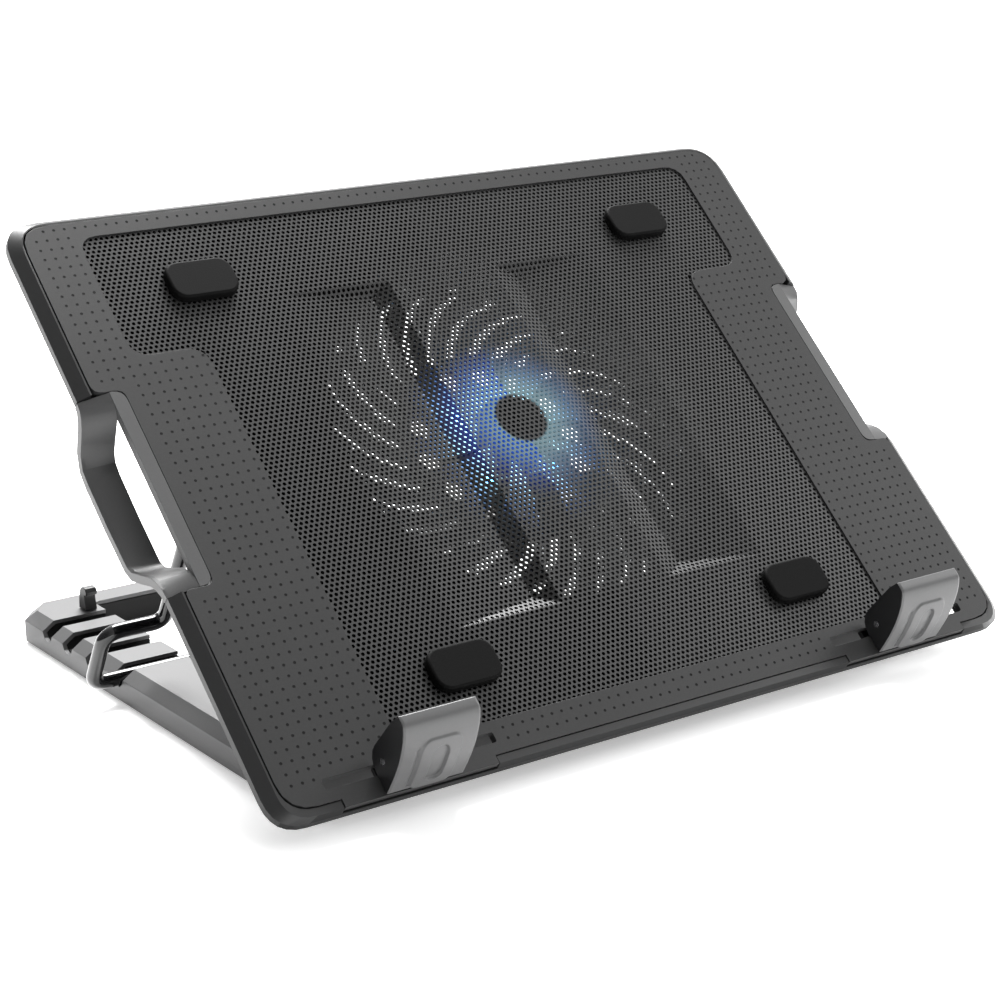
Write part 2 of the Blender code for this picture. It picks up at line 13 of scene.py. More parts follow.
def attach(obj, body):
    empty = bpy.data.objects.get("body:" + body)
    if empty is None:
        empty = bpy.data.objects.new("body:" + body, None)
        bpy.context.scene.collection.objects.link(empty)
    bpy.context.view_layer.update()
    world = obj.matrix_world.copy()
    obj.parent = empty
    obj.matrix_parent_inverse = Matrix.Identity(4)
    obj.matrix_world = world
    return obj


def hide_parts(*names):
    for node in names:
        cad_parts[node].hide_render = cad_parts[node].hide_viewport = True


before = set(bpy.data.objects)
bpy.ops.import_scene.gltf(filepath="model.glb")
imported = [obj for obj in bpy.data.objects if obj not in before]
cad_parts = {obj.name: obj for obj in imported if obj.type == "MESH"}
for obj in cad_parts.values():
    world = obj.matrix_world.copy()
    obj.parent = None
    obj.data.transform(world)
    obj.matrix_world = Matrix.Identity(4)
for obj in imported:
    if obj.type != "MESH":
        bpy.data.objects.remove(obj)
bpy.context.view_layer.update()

# The camera stands to the front left of the pad, a little above it, and looks down across the deck.
camera_data = bpy.data.cameras.new("camera")
camera_data.sensor_width = 36.0
camera_data.lens = 83.835
camera_data.clip_start = 0.01
camera = bpy.data.objects.new("camera", camera_data)
right = Vector((0.81376, -0.58106, -0.01267)).normalized()
ahead = Vector((0.55496, 0.78331, -0.28011)).normalized()
above = right.cross(ahead)
camera.matrix_world = Matrix((
    (right.x, above.x, -ahead.x, -0.5700),
    (right.y, above.y, -ahead.y, -0.8104),
    (right.z, above.z, -ahead.z, 0.3586),
    (0.0, 0.0, 0.0, 1.0)))
bpy.context.scene.collection.objects.link(camera)
bpy.context.scene.camera = camera

# Plain studio: a pale floor, a broad soft light overhead and behind, a weak one on the right, and a white
# room whose left side is grey. The floor glows a little, so that it stays pale far from the lights.
def put(tree, kind, values=None, **settings):
    """A node with its settings, and each input either linked or set."""
    node = tree.nodes.new(kind)
    for key, value in settings.items():
        setattr(node, key, value)
    for key, value in (values or {}).items():
        if isinstance(value, bpy.types.NodeSocket):
            tree.links.new(value, node.inputs[key])
        else:
            node.inputs[key].default_value = value
    return node


FLOOR_HALF = 9.0
FLOOR_LEVEL = -0.0002
FLOOR_GLOW = 0.4
ROOM_STRENGTH = 1.03
LEFT_WALL_GREY = 0.22

floor_mesh = bpy.data.meshes.new("floor")
floor_corners = [(x * FLOOR_HALF, y * FLOOR_HALF, FLOOR_LEVEL)
                 for x, y in ((-1, -1), (1, -1), (1, 1), (-1, 1))]
floor_mesh.from_pydata(floor_corners, [], [(0, 1, 2, 3)])
floor = bpy.data.objects.new("floor", floor_mesh)
bpy.context.scene.collection.objects.link(floor)
floor_paint = bpy.data.materials.new("floor_paint")
floor_paint.use_nodes = True
paint = floor_paint.node_tree.nodes["Principled BSDF"].inputs
paint["Base Color"].default_value = (0.92, 0.92, 0.92, 1.0)
paint["Roughness"].default_value = 0.9
paint["Emission Color"].default_value = (1.0, 1.0, 1.0, 1.0)
paint["Emission Strength"].default_value = FLOOR_GLOW
floor_mesh.materials.append(floor_paint)
for name, place, aim, size, power in (
        ("key", (0.55, 1.15, 1.75), (0.0, 0.0, 0.0), 1.3, 150.0),
        ("right_fill", (1.5, -0.5, 1.0), (0.0, 0.0, 0.1), 0.9, 9.0)):
    lamp = bpy.data.lights.new(name, "AREA")
    lamp.shape = "SQUARE"
    lamp.size = size
    lamp.energy = power
    holder = bpy.data.objects.new(name, lamp)
    holder.location = place
    holder.rotation_euler = (Vector(aim) - Vector(place)).to_track_quat("-Z", "Y").to_euler()
    bpy.context.scene.collection.objects.link(holder)
world = bpy.data.worlds.new("room")
world.use_nodes = True
room = world.node_tree
sky = room.nodes["Background"]
facing = put(room, "ShaderNodeTexCoord")
heading = put(room, "ShaderNodeSeparateXYZ", {0: facing.outputs["Generated"]})
wall = put(room, "ShaderNodeMapRange", {
    "Value": heading.outputs["X"], "From Min": -0.75, "From Max": 0.1,
    "To Min": LEFT_WALL_GREY, "To Max": 1.0})
eye = put(room, "ShaderNodeLightPath")
backdrop = put(room, "ShaderNodeMath", {0: wall.outputs["Result"], 1: eye.outputs["Is Camera Ray"]},
               operation="MAXIMUM")
room.links.new(backdrop.outputs["Value"], sky.inputs["Color"])
sky.inputs["Strength"].default_value = ROOM_STRENGTH
bpy.context.scene.world = world
bpy.context.scene.view_settings.view_transform = "Standard"


# Deck frame: one injection-moulded tray in dark grey plastic with a fine spark grain. Its rim slopes down all
# round, and the two hinge lugs hang under its front edge. The pocket floor under the sheet and the faces that
# point downwards are coloured near-black: painted shade.
TILT = math.radians(42.5)
FRONT_EDGE = Vector((0.0, -0.133823, 0.0112))
DECK_OUT = Vector((0.0, -math.sin(TILT), math.cos(TILT)))
POCKET_FLOOR = -0.0034
POCKET_SLACK = 0.0003
UNDERSIDE_TURN = -0.45
EDGE_ANGLE = math.radians(32)
FLAT_ANGLE = math.radians(0.6)
FACET_WELD = 0.000004


def shader_group(name, inputs, outputs):
    """An empty shader group with its sockets, and its two end nodes."""
    group = bpy.data.node_groups.new(name, "ShaderNodeTree")
    for label, kind, value in inputs:
        group.interface.new_socket(label, in_out="INPUT", socket_type=kind).default_value = value
    for label, kind in outputs:
        group.interface.new_socket(label, in_out="OUTPUT", socket_type=kind)
    return group, group.nodes.new("NodeGroupInput"), group.nodes.new("NodeGroupOutput")


def make_grain():
    """Spark grain of a moulded surface, with faint cloudy tone and a slight change of gloss."""
    group, given, out = shader_group("spark_grain", [
        ("Colour", "NodeSocketColor", (0.1, 0.1, 0.1, 1)), ("Tone", "NodeSocketFloat", 0.1),
        ("Gloss", "NodeSocketFloat", 0.5), ("Grain", "NodeSocketFloat", 2600.0)],
        [("Colour", "NodeSocketColor"), ("Roughness", "NodeSocketFloat"), ("Height", "NodeSocketFloat")])
    at = put(group, "ShaderNodeTexCoord").outputs["Object"]
    spark = put(group, "ShaderNodeTexNoise",
                {"Vector": at, "Scale": given.outputs["Grain"], "Detail": 2.0})
    cloud = put(group, "ShaderNodeTexNoise", {"Vector": at, "Scale": 14.0, "Detail": 4.0})
    speck = put(group, "ShaderNodeTexNoise", {"Vector": at, "Scale": 900.0, "Detail": 1.0})
    both = put(group, "ShaderNodeMath", {0: cloud.outputs["Fac"], 1: speck.outputs["Fac"]},
               operation="ADD")
    swing = put(group, "ShaderNodeMath", {0: both.outputs[0], 1: 1.0}, operation="SUBTRACT")
    part = put(group, "ShaderNodeMath", {0: swing.outputs[0], 1: given.outputs["Tone"], 2: 1.0},
               operation="MULTIPLY_ADD")
    tinted = put(group, "ShaderNodeVectorMath", {0: given.outputs["Colour"], 1: part.outputs[0]},
                 operation="MULTIPLY")
    rough = put(group, "ShaderNodeMath", {0: cloud.outputs["Fac"], 1: 0.12, 2: given.outputs["Gloss"]},
                operation="MULTIPLY_ADD")
    group.links.new(tinted.outputs[0], out.inputs["Colour"])
    group.links.new(rough.outputs[0], out.inputs["Roughness"])
    group.links.new(spark.outputs["Fac"], out.inputs["Height"])
    return group


spark_grain = make_grain()


def moulded(name, colour, gloss, tone=0.12, depth=0.00004, metal=0.0, grain=2600.0, shine=0.5):
    """A finish with the spark grain: its colour, how rough, how cloudy, how deep and how fine the grain."""
    mat = bpy.data.materials.new(name)
    mat.use_nodes = True
    tree = mat.node_tree
    shader = tree.nodes["Principled BSDF"]
    skin = put(tree, "ShaderNodeGroup", node_tree=spark_grain)
    skin.inputs["Colour"].default_value = (*colour, 1.0)
    skin.inputs["Tone"].default_value = tone
    skin.inputs["Gloss"].default_value = gloss
    skin.inputs["Grain"].default_value = grain
    bump = put(tree, "ShaderNodeBump",
               {"Height": skin.outputs["Height"], "Distance": depth, "Strength": 0.6})
    tree.links.new(skin.outputs["Colour"], shader.inputs["Base Color"])
    tree.links.new(skin.outputs["Roughness"], shader.inputs["Roughness"])
    tree.links.new(bump.outputs["Normal"], shader.inputs["Normal"])
    shader.inputs["Metallic"].default_value = metal
    shader.inputs["Specular IOR Level"].default_value = shine
    return mat


def plain_mesh(obj, name):
    """The evaluated shape of an object as a new mesh object at the origin."""
    graph = bpy.context.evaluated_depsgraph_get()
    graph.update()
    mesh = bpy.data.meshes.new_from_object(obj.evaluated_get(graph))
    mesh.name = name
    bpy.data.objects.remove(obj, do_unlink=True)
    done = bpy.data.objects.new(name, mesh)
    bpy.context.scene.collection.objects.link(done)
    return done


def softened(node, edge, mat, body, steps=2):
    """The node's own shape with its facets joined and every hard edge rolled over by a small radius."""
    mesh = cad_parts[node].data.copy()
    work = bmesh.new()
    work.from_mesh(mesh)
    bmesh.ops.remove_doubles(work, verts=work.verts, dist=FACET_WELD)
    bmesh.ops.dissolve_limit(work, angle_limit=FLAT_ANGLE, verts=work.verts, edges=work.edges)
    work.to_mesh(mesh)
    work.free()
    obj = bpy.data.objects.new("raw_" + node, mesh)
    bpy.context.scene.collection.objects.link(obj)
    roll = obj.modifiers.new("rolled_edge", "BEVEL")
    roll.width = edge
    roll.segments = steps
    roll.limit_method = "ANGLE"
    roll.angle_limit = EDGE_ANGLE
    roll.harden_normals = True
    mesh.shade_smooth()
    mesh.set_sharp_from_angle(angle=EDGE_ANGLE)
    piece = plain_mesh(obj, node + "_body")
    piece.data.materials.clear()
    piece.data.materials.append(mat)
    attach(piece, body)
    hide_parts(node)
    return piece


deck_grey = moulded("deck_grey", (0.020, 0.020, 0.0203), 0.3, shine=0.3)
pocket_painted_shade = moulded("pocket_painted_shade", (0.004, 0.004, 0.004), 0.6, shine=0.15)
underside_painted_shade = moulded("underside_painted_shade", (0.006, 0.006, 0.0062), 0.5, shine=0.25)
deck_body = softened("deck_frame", 0.0006, deck_grey, "deck", 3)
deck_body.data.materials.append(pocket_painted_shade)
deck_body.data.materials.append(underside_painted_shade)
for face in deck_body.data.polygons:
    level = (face.center - FRONT_EDGE).dot(DECK_OUT)
    # the pocket floor seen through the sheet's holes is coloured near-black: painted shade
    if abs(level - POCKET_FLOOR) < POCKET_SLACK and face.normal.dot(DECK_OUT) > 0.9:
        face.material_index = 1
    # faces that point downwards are coloured near-black: painted shade
    if face.normal.z < UNDERSIDE_TURN:
        face.material_index = 2

# Top bezel: a flat moulded plate set into the deck frame, of the same plastic with a slightly duller grain.
bezel_grey = moulded("bezel_grey", (0.019, 0.019, 0.0192), 0.4, 0.26, 0.00006, shine=0.26)
softened("top_bezel", 0.0004, bezel_grey, "deck")

# Dimples of the bezel: small pocks on a square grid, in blocks that leave out the mesh, the handle bays and
# the stop slots. Each is a shallow dished eyelet, coloured near-black all over as the painted shade of a
# pock.
DIMPLE_U = 0.00475
DIMPLE_V = 0.00479
DIMPLE_FIRST_V = 0.0146
DIMPLE_RADIUS = 0.00068
LIP_HEIGHT = 0.00006
BOWL_DEPTH = 0.00004
POINT_WELD = 0.000005
# first column, columns, first row, rows; each block lies on both sides of the middle
DIMPLE_BLOCKS = ((27, 11, 1, 17), (27, 8, 18, 21), (27, 11, 39, 2), (34, 4, 41, 14), (0, 37, 55, 1),
                 (35, 3, 0, 1), (0, 18, 0, 1), (0, 18, -1, 1))


def new_tree(name):
    """An empty geometry tree that puts out one geometry."""
    tree = bpy.data.node_groups.new(name, "GeometryNodeTree")
    tree.interface.new_socket("Geometry", in_out="OUTPUT", socket_type="NodeSocketGeometry")
    return tree


def add_size(tree, label, value):
    socket = tree.interface.new_socket(label, in_out="INPUT", socket_type="NodeSocketFloat")
    socket.default_value = value


def made_by(tree, name, values, body, slot_name, *nodes):
    """A piece from a node tree, with its inputs set by identifier, turned into a plain mesh."""
    holder = bpy.data.objects.new("raw_" + name, bpy.data.meshes.new("raw_" + name))
    bpy.context.scene.collection.objects.link(holder)
    step = holder.modifiers.new("maker", "NODES")
    step.node_group = tree
    for item in tree.interface.items_tree:
        if item.in_out == "INPUT" and item.name in values:
            step[item.identifier] = values[item.name]
    piece = plain_mesh(holder, name)
    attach(piece, body)
    if nodes:
        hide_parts(*nodes)
    return piece


def real_copies(tree, geometry):
    """The copies made real, with the points joined where neighbours meet."""
    real = put(tree, "GeometryNodeRealizeInstances", {0: geometry})
    weld = put(tree, "GeometryNodeMergeByDistance",
               {"Geometry": real.outputs[0], "Distance": POINT_WELD})
    return weld.outputs[0]


def to_deck(tree, geometry):
    """The flat shape turned to the deck's tilt and moved to its front edge."""
    turned = put(tree, "GeometryNodeTransform",
                 {"Geometry": geometry, "Rotation": (TILT, 0.0, 0.0), "Translation": FRONT_EDGE})
    return turned.outputs[0]


def put_out(tree, geometry, mat):
    """Gives the shape its material and ends the tree."""
    colour = put(tree, "GeometryNodeSetMaterial", {"Geometry": geometry, "Material": mat})
    put(tree, "NodeGroupOutput", {"Geometry": colour.outputs["Geometry"]})


def dimple_tree(mat):
    """Dimples at the points of the blocks: each an eight-sided lip round a shallow bowl."""
    tree = new_tree("dimple_blocks")
    add_size(tree, "Radius", DIMPLE_RADIUS)
    given = put(tree, "NodeGroupInput")
    joined = put(tree, "GeometryNodeJoinGeometry")
    for first, columns, row, rows in DIMPLE_BLOCKS:
        for side in (-1, 1):
            grid = put(tree, "GeometryNodeMeshGrid", {
                "Size X": DIMPLE_U * (columns - 1), "Size Y": DIMPLE_V * (rows - 1),
                "Vertices X": columns, "Vertices Y": rows})
            middle_u = side * DIMPLE_U * (first + columns / 2)
            middle_v = DIMPLE_FIRST_V + DIMPLE_V * (row + (rows - 1) / 2)
            shift = put(tree, "GeometryNodeTransform", {"Geometry": grid.outputs[0],
                                                        "Translation": (middle_u, middle_v, 0.0)})
            tree.links.new(shift.outputs[0], joined.inputs[0])
    disc = put(tree, "GeometryNodeMeshCircle", {"Vertices": 8, "Radius": given.outputs["Radius"]},
               fill_type="NGON")
    lip = put(tree, "GeometryNodeExtrudeMesh", {"Mesh": disc.outputs[0], "Offset Scale": LIP_HEIGHT})
    narrow = put(tree, "GeometryNodeScaleElements", {"Geometry": lip.outputs[0], "Selection": lip.outputs[1],
                                                     "Scale": 0.86})
    bowl = put(tree, "GeometryNodeExtrudeMesh", {"Mesh": narrow.outputs[0], "Selection": lip.outputs[1],
                                                 "Offset Scale": -BOWL_DEPTH})
    small = put(tree, "GeometryNodeScaleElements", {"Geometry": bowl.outputs[0], "Selection": bowl.outputs[1],
                                                    "Scale": 0.55})
    points = put(tree, "GeometryNodeMeshToPoints", {"Mesh": joined.outputs[0]})
    spread = put(tree, "GeometryNodeInstanceOnPoints", {"Points": points.outputs[0],
                                                        "Instance": small.outputs[0]})
    put_out(tree, to_deck(tree, real_copies(tree, spread.outputs[0])), mat)
    return tree


# the pocks are coloured near-black all over: painted shade of a recess
dimple_painted_shade = moulded("dimple_painted_shade", (0.003, 0.003, 0.003), 0.6, shine=0.1)
made_by(dimple_tree(dimple_painted_shade), "bezel_dimples", {"Radius": DIMPLE_RADIUS}, "deck", "grey_plastic")

# Perforated sheet: 1.2 mm steel, punched with staggered holes, coated grey and dished in two bays that fall
# towards the middle rib. It lies in the bezel's opening and is made in four lengths.
HOLE_PITCH = 0.00245
ROW_PITCH = HOLE_PITCH * math.sqrt(3) / 2
HOLE_RADIUS = 0.00088
SHEET_THICKNESS = 0.0012
SHEET_TOP = -0.0009
COLUMN_GAPS, ROW_GAPS = 132, 134
NARROW_HALF, NARROW_FROM = 0.1289, 0.0181
WIDE_HALF, WIDE_FROM, WIDE_TO = 0.1609, 0.2100, 0.2732
BAY_DROP = 0.0031
# where each wall of a bay starts and how wide it is
RIB_HALF, RIB_WALL = 0.028, 0.0106
BAY_OUTER, OUTER_WALL = 0.080, 0.0414
BAY_FRONT, FRONT_WALL = 0.0605, 0.0065
BAY_REAR, REAR_WALL = 0.2305, 0.0055
SHEET_LENGTHS = (("sheet_front", 0.018, 0.1), ("sheet_middle", 0.1, 0.175),
                 ("sheet_upper", 0.175, 0.245), ("sheet_rear", 0.245, 0.274))


def maths(tree, operation, *values, clamp=False):
    """The output of a maths node."""
    node = put(tree, "ShaderNodeMath", dict(enumerate(values)), operation=operation, use_clamp=clamp)
    return node.outputs[0]


def sheet_tree(mat):
    """A length of the sheet: six-sided cells with a hole each, on staggered points, then dished."""
    tree = new_tree("punched_sheet")
    for label, value in (("Hole Radius", HOLE_RADIUS), ("Thickness", SHEET_THICKNESS),
                         ("From", SHEET_LENGTHS[0][1]), ("To", SHEET_LENGTHS[0][2])):
        add_size(tree, label, value)
    given = put(tree, "NodeGroupInput")
    grid = put(tree, "GeometryNodeMeshGrid", {
        "Size X": HOLE_PITCH * COLUMN_GAPS, "Size Y": ROW_PITCH * ROW_GAPS,
        "Vertices X": COLUMN_GAPS + 1, "Vertices Y": ROW_GAPS + 1})
    lifted = put(tree, "GeometryNodeTransform", {
        "Geometry": grid.outputs[0], "Translation": (0.0, ROW_PITCH * (ROW_GAPS / 2 + 1), 0.0)})
    where = put(tree, "ShaderNodeSeparateXYZ", {0: put(tree, "GeometryNodeInputPosition").outputs[0]})
    u, v = where.outputs[0], where.outputs[1]
    row = maths(tree, "ROUND", maths(tree, "DIVIDE", v, ROW_PITCH))
    odd = maths(tree, "MULTIPLY", maths(tree, "FLOORED_MODULO", row, 2.0), HOLE_PITCH / 2)
    push = put(tree, "ShaderNodeCombineXYZ", {0: odd})
    staggered = put(tree, "GeometryNodeSetPosition",
                    {"Geometry": lifted.outputs[0], "Offset": push.outputs[0]})
    away = maths(tree, "ABSOLUTE", u)
    wide = maths(tree, "MULTIPLY", maths(tree, "GREATER_THAN", v, WIDE_FROM),
                 maths(tree, "LESS_THAN", away, WIDE_HALF))
    inside = maths(tree, "MAXIMUM", wide, maths(tree, "LESS_THAN", away, NARROW_HALF))
    for test, limit in (("LESS_THAN", WIDE_TO), ("GREATER_THAN", NARROW_FROM),
                        ("GREATER_THAN", given.outputs["From"]), ("LESS_THAN", given.outputs["To"])):
        inside = maths(tree, "MULTIPLY", inside, maths(tree, test, v, limit))
    outside = maths(tree, "LESS_THAN", inside, 0.5)
    kept = put(tree, "GeometryNodeDeleteGeometry",
               {"Geometry": staggered.outputs[0], "Selection": outside},
               domain="POINT", mode="ALL")
    cell = put(tree, "GeometryNodeMeshCircle", {"Vertices": 6, "Radius": HOLE_PITCH / math.sqrt(3)},
               fill_type="NGON")
    share = maths(tree, "DIVIDE", given.outputs["Hole Radius"], HOLE_PITCH / math.sqrt(3))
    back = maths(tree, "DIVIDE", 1.0, share)
    drop = maths(tree, "MULTIPLY", given.outputs["Thickness"], -1.0)
    shape, chosen = cell.outputs[0], None
    for depth, scale in ((0.0, share), (drop, None), (0.0, back)):
        values = {"Mesh": shape, "Offset Scale": depth}
        if chosen is not None:
            values["Selection"] = chosen
        pushed = put(tree, "GeometryNodeExtrudeMesh", values)
        shape, chosen = pushed.outputs[0], pushed.outputs[1]
        if scale is not None:
            sized = put(tree, "GeometryNodeScaleElements", {"Geometry": shape, "Selection": chosen,
                                                            "Scale": scale})
            shape = sized.outputs[0]
    opened = put(tree, "GeometryNodeDeleteGeometry", {"Geometry": shape, "Selection": chosen},
                 domain="FACE", mode="ALL")
    turned = put(tree, "GeometryNodeTransform", {"Geometry": opened.outputs[0],
                                                 "Rotation": (0.0, 0.0, math.radians(30))})
    points = put(tree, "GeometryNodeMeshToPoints", {"Mesh": kept.outputs[0]})
    spread = put(tree, "GeometryNodeInstanceOnPoints", {"Points": points.outputs[0],
                                                        "Instance": turned.outputs[0]})
    flat_sheet = real_copies(tree, spread.outputs[0])
    # how far each point is into a bay, from 0 at its rim to 1 at its foot
    fall = maths(tree, "DIVIDE", maths(tree, "SUBTRACT", BAY_OUTER, away), OUTER_WALL)
    inner = maths(tree, "DIVIDE", maths(tree, "SUBTRACT", away, RIB_HALF), RIB_WALL)
    front = maths(tree, "DIVIDE", maths(tree, "SUBTRACT", v, BAY_FRONT), FRONT_WALL)
    rear = maths(tree, "DIVIDE", maths(tree, "SUBTRACT", BAY_REAR, v), REAR_WALL)
    depth = maths(tree, "MINIMUM", maths(tree, "MINIMUM", fall, inner),
                  maths(tree, "MINIMUM", front, rear), clamp=True)
    level = maths(tree, "MULTIPLY_ADD", depth, -BAY_DROP, SHEET_TOP)
    down = put(tree, "ShaderNodeCombineXYZ", {2: level})
    dished = put(tree, "GeometryNodeSetPosition", {"Geometry": flat_sheet, "Offset": down.outputs[0]})
    put_out(tree, to_deck(tree, dished.outputs[0]), mat)
    return tree


HUB_MIDDLE = Vector((0.0, -0.013773, 0.102217))
HUB_BLUR = 0.0015
SHEET_GLOW = 0.24


def make_glow():
    """Light of the hub lamps on what is near: none on the hub, full round it and gone further out."""
    group, given, out = shader_group("hub_light", [
        ("Inner", "NodeSocketFloat", 0.016), ("Outer", "NodeSocketFloat", 0.045)],
        [("Mask", "NodeSocketFloat"), ("Colour", "NodeSocketColor")])
    at = put(group, "ShaderNodeTexCoord").outputs["Object"]
    arm = put(group, "ShaderNodeVectorMath", {0: at, 1: HUB_MIDDLE}, operation="SUBTRACT")
    across = put(group, "ShaderNodeVectorMath", {0: arm.outputs[0], 1: DECK_OUT},
                 operation="CROSS_PRODUCT")
    reach = put(group, "ShaderNodeVectorMath", {0: across.outputs[0]}, operation="LENGTH")
    fade = put(group, "ShaderNodeMapRange", {
        "Value": reach.outputs["Value"], "To Min": 1.0, "To Max": 0.0,
        "From Min": given.outputs["Inner"], "From Max": given.outputs["Outer"]},
        interpolation_type="SMOOTHSTEP")
    hub_rim = put(group, "ShaderNodeMath", {0: given.outputs["Inner"], 1: HUB_BLUR},
                  operation="SUBTRACT")
    ring = put(group, "ShaderNodeMapRange", {
        "Value": reach.outputs["Value"],
        "From Min": hub_rim.outputs[0], "From Max": given.outputs["Inner"]},
        interpolation_type="SMOOTHSTEP")
    mask = put(group, "ShaderNodeMath", {0: fade.outputs["Result"], 1: ring.outputs["Result"]},
               operation="MULTIPLY")
    tint = put(group, "ShaderNodeValToRGB", {"Fac": fade.outputs["Result"]})
    tint.color_ramp.elements[0].color = (0.04, 0.2, 0.9, 1.0)
    tint.color_ramp.elements[1].color = (0.5, 0.86, 1.0, 1.0)
    group.links.new(mask.outputs[0], out.inputs["Mask"])
    group.links.new(tint.outputs["Color"], out.inputs["Colour"])
    return group


hub_light = make_glow()


def lit_by_hub(mat, strength, inner, outer):
    """Adds the lamps' blue light round the hub to a material."""
    tree = mat.node_tree
    shader = tree.nodes["Principled BSDF"]
    glow = put(tree, "ShaderNodeGroup", node_tree=hub_light)
    glow.inputs["Inner"].default_value = inner
    glow.inputs["Outer"].default_value = outer
    dim = put(tree, "ShaderNodeVectorMath", {0: glow.outputs["Colour"], 1: glow.outputs["Mask"]},
              operation="MULTIPLY")
    tree.links.new(dim.outputs[0], shader.inputs["Emission Color"])
    shader.inputs["Emission Strength"].default_value = strength
    return mat


sheet_coat = moulded("sheet_coat", (0.036, 0.036, 0.0363), 0.3, 0.1, 0.00001, 0.2, shine=0.3)
lit_by_hub(sheet_coat, SHEET_GLOW, 0.013, 0.042)


def shade_wall(mat):
    """Darkens the left bay's inner wall, where no light falls, and deepens the hub's blue on it."""
    tree = mat.node_tree
    shader = tree.nodes["Principled BSDF"]
    place = put(tree, "ShaderNodeTexCoord")
    turned = put(tree, "ShaderNodeSeparateXYZ", {0: place.outputs["Normal"]})
    side = put(tree, "ShaderNodeSeparateXYZ", {0: place.outputs["Object"]})
    slope = put(tree, "ShaderNodeMapRange", {
        "Value": turned.outputs["X"], "From Min": -0.12, "From Max": -0.3}, interpolation_type="SMOOTHSTEP")
    left = put(tree, "ShaderNodeMath", {0: side.outputs["X"], 1: 0.0}, operation="LESS_THAN")
    wall_mask = put(tree, "ShaderNodeMath", {0: slope.outputs["Result"], 1: left.outputs[0]},
                    operation="MULTIPLY")
    # inputs 6 and 7 and output 2 are the Mix node's colours
    for socket, deep in (("Base Color", (0.12, 0.12, 0.12, 1.0)),
                         ("Emission Color", (0.02, 0.35, 2.0, 1.0))):
        was = shader.inputs[socket].links[0].from_socket
        mix = put(tree, "ShaderNodeMix", data_type="RGBA", blend_type="MULTIPLY")
        tree.links.new(wall_mask.outputs[0], mix.inputs["Factor"])
        tree.links.new(was, mix.inputs[6])
        mix.inputs[7].default_value = deep
        tree.links.new(mix.outputs[2], shader.inputs[socket])


shade_wall(sheet_coat)
punched = sheet_tree(sheet_coat)
for name, low, high in SHEET_LENGTHS:
    stands_for = ("mesh_panel",) if name == "sheet_front" else ()
    made_by(punched, name, {"From": low, "To": high}, "deck", "mesh_steel", *stands_for)

# Rubber pads: four moulded blocks stuck on the sheet, matt black with a rolled top edge.
RUBBER_GRAIN = 1500.0
pad_rubber = moulded("pad_rubber", (0.0016, 0.0016, 0.0016), 0.6, 0.2, 0.00008,
                     grain=RUBBER_GRAIN, shine=0.08)
for name in ("pad_fl", "pad_fr", "pad_rl", "pad_rr"):
    softened(name, 0.0008, pad_rubber, "deck", 3)

# Handles: one moulded insert on each side, a rail with a bar that dips under it so that fingers fit between.
handle_grey = moulded("handle_grey", (0.055, 0.055, 0.0555), 0.3, shine=0.4)
for side in "lr":
    softened("handle_" + side, 0.0007, handle_grey, "deck", 3)

# Underside tray: black plastic with a spiral of air slots, and the fan's ring with its four arms inside it.
tray_black = moulded("tray_black", (0.008, 0.008, 0.0085), 0.42, 0.2, shine=0.35)
softened("bottom_cover", 0.0003, tray_black, "deck", 1)
ring_black = lit_by_hub(moulded("ring_black", (0.008, 0.008, 0.0085), 0.42, 0.2), 0.7, 0.018, 0.05)
softened("fan_frame", 0.0003, ring_black, "deck", 1)

# Fan: nine swept blades on a cup that turns on a steel axle, in clear smoky plastic that the hub lamps light
# up. The cup's top is black.
CUP_RADIUS = 0.0168
blade_smoke = lit_by_hub(moulded("blade_smoke", (0.96, 0.98, 1.0), 0.02), 1.1, 0.0175, 0.050)
clear = blade_smoke.node_tree.nodes["Principled BSDF"].inputs
clear["Transmission Weight"].default_value = 0.92
clear["IOR"].default_value = 1.12
hub_black = moulded("hub_black", (0.03, 0.03, 0.031), 0.4)
rotor = softened("fan_rotor", 0.0002, blade_smoke, "fan", 1)
rotor.data.materials.append(hub_black)
for face in rotor.data.polygons:
    if (face.center - HUB_MIDDLE).cross(DECK_OUT).length < CUP_RADIUS:
        face.material_index = 1
axle_steel = moulded("axle_steel", (0.5, 0.5, 0.52), 0.22, 0.05, 0.000004, 1.0, 4000.0)
softened("fan_axle", 0.0001, axle_steel, "fan", 1)
winding = moulded("winding", (0.55, 0.22, 0.08), 0.28, 0.25, 0.0001, 1.0, 1800.0)
softened("motor_stator", 0.0003, winding, "deck", 2)
board_green = moulded("board_green", (0.01, 0.09, 0.035), 0.3, 0.3, 0.00002)
for name in ("control_board", "motor_board"):
    softened(name, 0.0001, board_green, "deck", 1)
lens_blue = moulded("lens_blue", (0.1, 0.35, 1.0), 0.1)
lens = lens_blue.node_tree.nodes["Principled BSDF"].inputs
lens["Emission Color"].default_value = (0.1, 0.4, 1.0, 1.0)
lens["Emission Strength"].default_value = 12.0
for k in range(1, 5):
    softened("led_%d" % k, 0.0002, lens_blue, "deck", 2)
inlet_black = moulded("inlet_black", (0.012, 0.012, 0.013), 0.3)
softened("power_inlet", 0.0003, inlet_black, "deck", 2)

# Bail: a 6.5 mm steel rod bent to a wide U with a jog in each leg, plated glossy black. Its ends turn in two
# black clips under the deck, and its foot stands in the front notch of the base.
ROD_RADIUS = 0.00325
BAIL_FOOT = Vector((0.0, 0.042777, 0.0107))
BAIL_PIVOT = Vector((0.0, -0.012625, 0.106658))
BAIL_SLOPE = math.radians(60.0)
BEND_STEPS = 10
JOG_ANGLE = math.radians(50)


